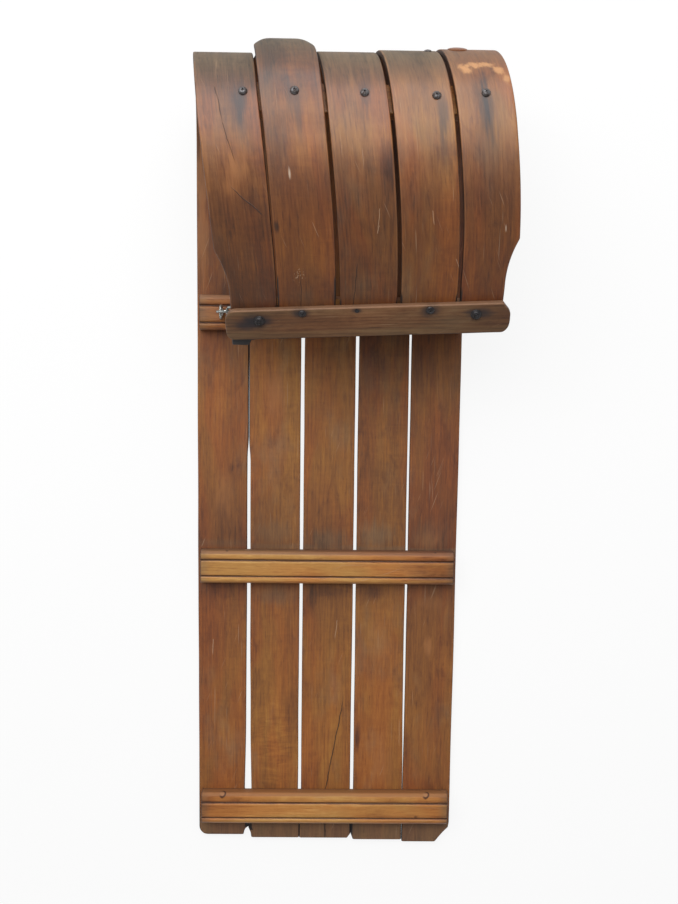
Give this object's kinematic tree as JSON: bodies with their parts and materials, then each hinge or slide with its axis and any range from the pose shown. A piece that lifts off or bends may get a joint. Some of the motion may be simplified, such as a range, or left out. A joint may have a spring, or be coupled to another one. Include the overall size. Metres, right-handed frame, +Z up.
{
  "type": "toboggan",
  "caption": "Wooden toboggan of bent slats with a curl at the front, moulded crossbars on the deck, a headpiece across the curl's end and short chains that hold it down.",
  "frame": {"origin": "on the middle slat's running face, straight below the middle crossbar", "axes": "+Y to the front, where the curl is, +X to the right seen from behind, +Z up from the running face"},
  "size_m": [0.4471, 1.2111, 0.25],
  "materials": {
    "slat_wood": "bent hardwood slats, old varnish worn thin, dark brown",
    "bar_wood": "moulded crossbars, honey-coloured varnished wood",
    "head_wood": "weathered dark wood, little varnish left",
    "iron": "rusty dark iron eyes, bolts and screws",
    "chain_steel": "dull zinc-plated chain"
  },
  "bodies": {
    "root": {"slat_left_outer": "slat_wood", "slat_left_inner": "slat_wood", "slat_middle": "slat_wood", "slat_right_inner": "slat_wood", "slat_right_outer": "slat_wood", "crossbar_tail": "bar_wood", "crossbar_middle": "bar_wood", "crossbar_front": "bar_wood", "curl_bar": "bar_wood", "headpiece": "head_wood", "eye_bolts": "iron", "deck_eyes": "iron", "chain_left": "chain_steel", "chain_right": "chain_steel"}
  },
  "joints": []
}
